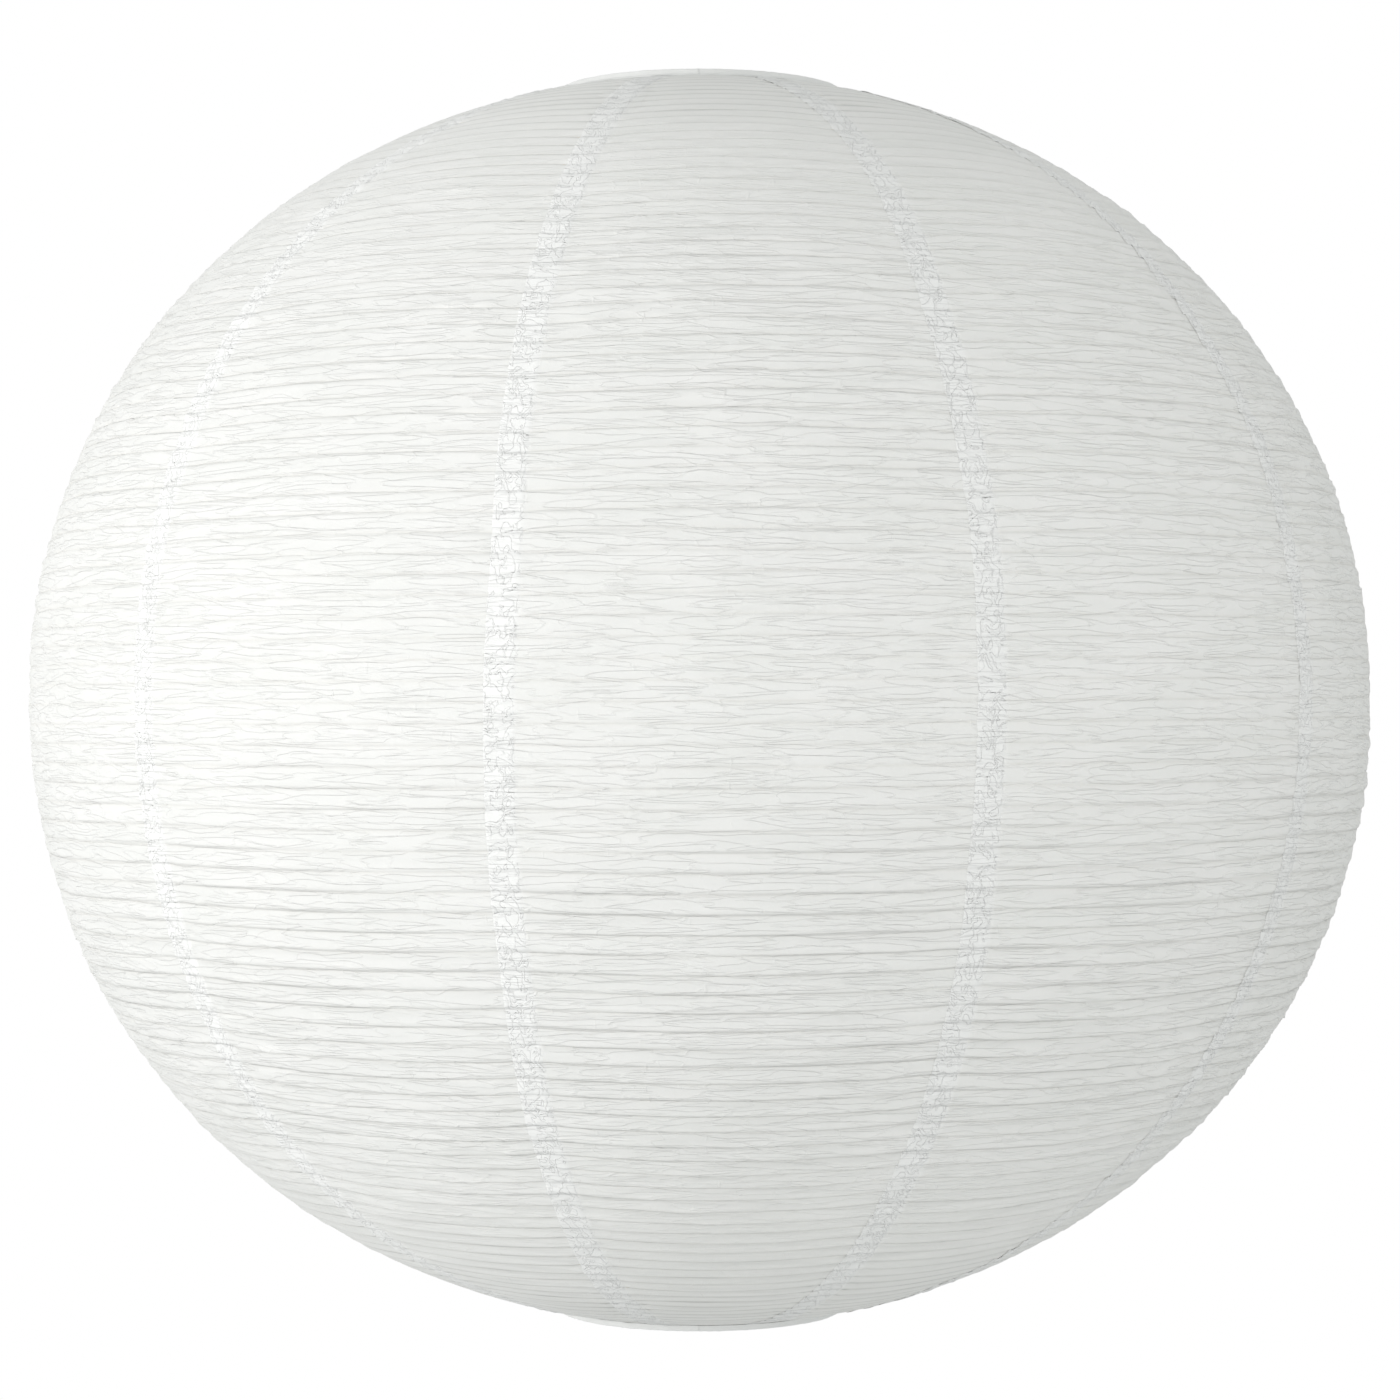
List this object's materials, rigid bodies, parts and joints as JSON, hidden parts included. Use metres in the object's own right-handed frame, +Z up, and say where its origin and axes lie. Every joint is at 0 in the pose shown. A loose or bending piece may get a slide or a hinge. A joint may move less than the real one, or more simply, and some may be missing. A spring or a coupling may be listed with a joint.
{
  "type": "paper lantern",
  "caption": "Round hanging paper lantern shade: lapped paper strips over a spiral bamboo rib, held open by a sprung wire stretcher.",
  "frame": {"origin": "middle of the lamp holder's hole in the spider plate", "axes": "+Z up along the hole and the lantern's own axis, -Y the front, +X the front's right"},
  "size_m": [0.75, 0.75, 0.6951],
  "materials": {
    "globe_paper": "matt, thin, translucent white mulberry paper",
    "collar_paper": "matt white paper, folded and glued",
    "bamboo": "split bamboo, scraped smooth",
    "ring_wire": "zinc plated wire",
    "spring_steel": "zinc plated spring wire",
    "plated_steel": "zinc plated sheet",
    "rivet_steel": "plain bright rivet"
  },
  "bodies": {
    "stretcher": {"spider_plate": "plated_steel", "leg_socket_left": "plated_steel", "leg_socket_right": "plated_steel", "socket_rivet_left": "rivet_steel", "socket_rivet_right": "rivet_steel"},
    "left_leg": {"leg_left": "spring_steel", "foot_clip_left": "plated_steel"},
    "right_leg": {"leg_right": "spring_steel", "foot_clip_right": "plated_steel"},
    "shade_top": {"top_ring": "ring_wire", "top_collar": "collar_paper", "bamboo_rib": "bamboo", "paper_gore_01": "globe_paper", "paper_gore_02": "globe_paper", "paper_gore_03": "globe_paper", "paper_gore_04": "globe_paper", "paper_gore_05": "globe_paper", "paper_gore_06": "globe_paper", "paper_gore_07": "globe_paper", "paper_gore_08": "globe_paper", "paper_gore_09": "globe_paper", "paper_gore_10": "globe_paper"},
    "shade_bottom": {"bottom_ring": "ring_wire", "bottom_collar": "collar_paper"}
  },
  "joints": [
    {"name": "left_squeeze", "type": "hinge", "parent": "stretcher", "child": "left_leg", "pos_m": [-0.07, 0, -0.0128], "axis": [0, -1, 0], "range_deg": [0, 1.5], "stiffness_Nm_per_rad": 2, "springref_deg": -2.86},
    {"name": "right_squeeze", "type": "hinge", "parent": "stretcher", "child": "right_leg", "pos_m": [0.07, 0, -0.0128], "axis": [0, 1, 0], "range_deg": [0, 1.5], "stiffness_Nm_per_rad": 2, "springref_deg": -2.86},
    {"name": "shade_turn", "type": "hinge", "parent": "stretcher", "child": "shade_top", "pos_m": [0, 0, 0.0031], "axis": [0, 0, 1], "continuous": true},
    {"name": "shade_collapse", "type": "slide", "parent": "shade_top", "child": "shade_bottom", "axis": [0, 0, 1], "range_m": [0, 0.633], "deforming": ["paper_gore_01", "paper_gore_02", "paper_gore_03", "paper_gore_04", "paper_gore_05", "paper_gore_06", "paper_gore_07", "paper_gore_08", "paper_gore_09", "paper_gore_10", "bamboo_rib"]}
  ]
}
